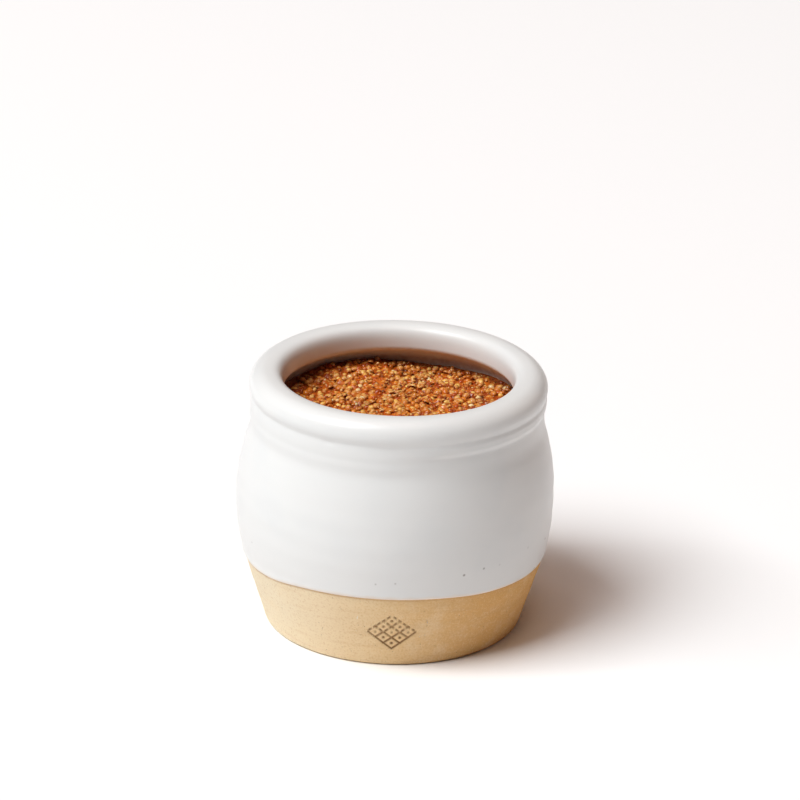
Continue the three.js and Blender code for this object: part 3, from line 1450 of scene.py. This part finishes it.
    def _scatter(
        self, kind: GrainKind | ScrapKind, middles: np.ndarray, widths: np.ndarray, draw: np.random.Generator
    ) -> Piece:
        """Copies one grain to every place, each copy turned, sized and bent its own way.

        Args:
            kind: The kind of grain.
            middles: Where the copies go.
            widths: How wide each is.
            draw: The draw of random numbers.

        Returns:
            One piece that holds all the copies.
        """
        shape = GrainShape.model(kind)
        count, corners = len(middles), len(shape.places)
        turns = self._lay_down(count, draw) if kind is ScrapKind.HUSKS else self._tumble(count, draw)
        bent = shape.places * (1 + draw.normal(0, self.seed_dents, (count, corners, 1)))
        bent = bent * (1 + draw.normal(0, self.seed_stretch, (count, 1, 3)))
        offsets = np.einsum("nij,nkj->nki", turns, bent) * widths[:, None, None]
        places = (offsets + middles[:, None, :]).reshape(-1, 3)
        faces = (shape.faces[None] + np.arange(count)[:, None, None] * corners).reshape(-1, 3)
        name = kind.name.lower()
        mesh = bpy.data.meshes.new(name)
        mesh.from_pydata((places * MM).tolist(), [], faces.tolist())
        piece = bpy.data.objects.new(name, mesh)
        bpy.context.scene.collection.objects.link(piece)
        write_values(piece, "tone", np.repeat(draw.random(count), corners))
        rise = offsets[:, :, 2] / (widths[:, None] / 2)
        write_values(piece, "rise", rise.ravel())
        write_values(piece, "wet_and_shade", self.wet_and_shade(np.repeat(middles, corners, axis=0)))
        mesh.materials.append(kind.value.mix(name))
        pick_up(piece)
        bpy.ops.object.shade_smooth()
        return piece

    def _paste(self, middles: np.ndarray, widths: np.ndarray) -> Piece:
        """Turns the paste, and lets it creep up the wall and cling to each seed.

        Args:
            middles: The seeds' middles.
            widths: The seeds' widths.

        Returns:
            The finished piece.
        """
        edge = self.wall + self.wall_overlap
        top = [(radius, self.fill_level) for radius in np.linspace(0, edge, self.rows)]
        below = self.form.inside(self.fill_level - 3, -self.wall_overlap, 8)
        piece = turn_outline("mustard_paste", np.vstack((top, below)), self.turns)
        places = read_places(piece)
        radius = from_axis(places)
        on_top = places[:, 2] > self.fill_level - 0.01
        tree = KDTree(len(middles))
        for number, middle in enumerate(middles):
            tree.insert((middle[0], middle[1], 0.0), number)
        tree.balance()
        draw = np.random.default_rng(self.seed + 2)
        cover = middles[:, 2] + widths * draw.uniform(*self.sunk, len(middles))
        farthest = self.seed_widths[1] / 2 + self.cling_reach
        base = self.level(places[:, 0], places[:, 1]) - self.paste_drop
        base += self._swell(self.lumps, places[:, 0], places[:, 1])
        base += self.wall_creep * np.exp(-(edge - radius) / self.creep_width)
        for number in np.flatnonzero(on_top):
            x, y, _ = places[number]
            height = base[number]
            for _, seed, distance in tree.find_range((x, y, 0.0), farthest):
                start = widths[seed] * self.cling_start
                reach = widths[seed] / 2 + self.cling_reach
                share = min(max((reach - distance) / (reach - start), 0), 1)
                cling = share * share * (3 - 2 * share)
                height = max(height, base[number] + cling * (cover[seed] - base[number]))
            places[number][2] = height
        at_wall = on_top & (radius > edge - 0.01)
        scale = (self.form.wall_radius(places[:, 2]) + self.wall_overlap) / np.maximum(radius, 1)
        places[:, :2] *= np.where(at_wall, scale, 1)[:, None]
        write_places(piece, places)
        write_values(piece, "wet_and_shade", self.wet_and_shade(places))
        piece.data.materials.append(MustardPaste().mix())
        return piece


# The studio


@dataclass(frozen=True)
class Viewpoint:
    """Where the picture is taken from, and where the pot stands in its frame of 800 by 800 pixels."""

    distance: float = 1278.0
    elevation: float = 23.31
    roll: float = 1.26
    aim_height: float = 36.93
    focal_pixels: float = 4500.0
    frame_pixels: float = 800.0
    aim_across: float = 394.76
    aim_down: float = 492.45
    sensor: float = 36.0

    def place_camera(self) -> Piece:
        """Adds the camera, turned so that its aim point falls where the picture has it.

        Returns:
            The camera.
        """
        rise = math.radians(self.elevation)
        roll = math.radians(self.roll)
        forward = Vector((0, math.cos(rise), -math.sin(rise)))
        level_right = Vector((1, 0, 0))
        level_up = Vector((0, math.sin(rise), math.cos(rise)))
        right = math.cos(roll) * level_right + math.sin(roll) * level_up
        up = -math.sin(roll) * level_right + math.cos(roll) * level_up
        middle = self.frame_pixels / 2
        across = (middle - self.aim_across) / self.focal_pixels
        above = (self.aim_down - middle) / self.focal_pixels
        ahead = (forward + across * right + above * up).normalized()
        right = (right - right.dot(ahead) * ahead).normalized()
        up = right.cross(ahead)
        place = (Vector((0, 0, self.aim_height)) - self.distance * forward) * MM
        put_down()
        bpy.ops.object.camera_add(location=place)
        camera = bpy.context.object
        camera.name = "studio_camera"
        axes = Matrix((right, up, -ahead)).transposed()
        camera.rotation_euler = axes.to_euler()
        camera.data.sensor_width = self.sensor
        camera.data.lens = self.focal_pixels / self.frame_pixels * self.sensor
        bpy.context.scene.camera = camera
        return camera


@dataclass(frozen=True)
class Softbox:
    """One soft square light, aimed at the pot."""

    name: str
    azimuth: float
    elevation: float
    side: float
    power: float
    tint: Colour
    distance: float = 6000.0
    aim_height: float = 40.0

    def hang(self) -> Piece:
        """Adds the light.

        Returns:
            The light.
        """
        turn, rise = math.radians(self.azimuth), math.radians(self.elevation)
        away = Vector((math.sin(turn) * math.cos(rise), -math.cos(turn) * math.cos(rise), math.sin(rise)))
        place = (away * self.distance + Vector((0, 0, self.aim_height))) * MM
        turned = away.to_track_quat("Z", "Y").to_euler()
        put_down()
        bpy.ops.object.light_add(type="AREA", location=place, rotation=turned)
        light = bpy.context.object
        light.name = self.name
        light.data.shape = "SQUARE"
        light.data.size = self.side * MM
        light.data.energy = self.power
        light.data.color = self.tint
        return light


@dataclass
class Studio:
    """The floor, the lights and the camera."""

    viewpoint: Viewpoint = field(default_factory=Viewpoint)
    softboxes: tuple[Softbox, ...] = (
        Softbox("key_softbox", -61.0, 57.0, 3400.0, 385.0, (0.955, 1.0, 1.02)),
        Softbox("glint_softbox", -84.0, 40.0, 900.0, 24.0, (0.96, 1.0, 1.02)),
        Softbox("top_softbox", 0.0, 88.0, 4000.0, 78.0, (1.0, 0.76, 0.66)),
        Softbox("fill_softbox", 120.0, 25.0, 4000.0, 29.0, (1.0, 0.67, 0.49)),
    )
    sky: Colour = (1.0, 0.9, 0.85)
    sky_strength: float = 0.03
    floor_side: float = 6000.0

    def build(self) -> None:
        """Sets up the floor, the lights, the sky and the camera."""
        self.viewpoint.place_camera()
        for softbox in self.softboxes:
            softbox.hang()
        world = bpy.context.scene.world or bpy.data.worlds.new("studio_sky")
        bpy.context.scene.world = world
        world.use_nodes = True
        sky = world.node_tree.nodes["Background"]
        sky.inputs["Color"].default_value = (*self.sky, 1.0)
        sky.inputs["Strength"].default_value = self.sky_strength
        bpy.context.scene.view_settings.view_transform = "Standard"
        put_down()
        bpy.ops.mesh.primitive_grid_add(x_subdivisions=8, y_subdivisions=8, size=self.floor_side * MM)
        floor = bpy.context.object
        floor.name = "studio_floor"
        floor.data.materials.append(PaleBoard().mix())


def main() -> None:
    """Builds the studio, the pot and the mustard, and gives every piece its place in the frame."""
    logging.basicConfig(level=logging.INFO, format="%(name)s: %(message)s")
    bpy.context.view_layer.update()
    Studio().build()
    pot = StonewarePot().build()
    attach(pot, "root")
    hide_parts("pot")
    log.info("%s: %d faces", pot.name, len(pot.data.polygons))
    for number, piece in enumerate(Mustard().build()):
        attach(piece, "root")
        if number == 0:
            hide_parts("mustard")
        log.info("%s: %d faces", piece.name, len(piece.data.polygons))
    put_down()


if __name__ == "__main__":
    main()
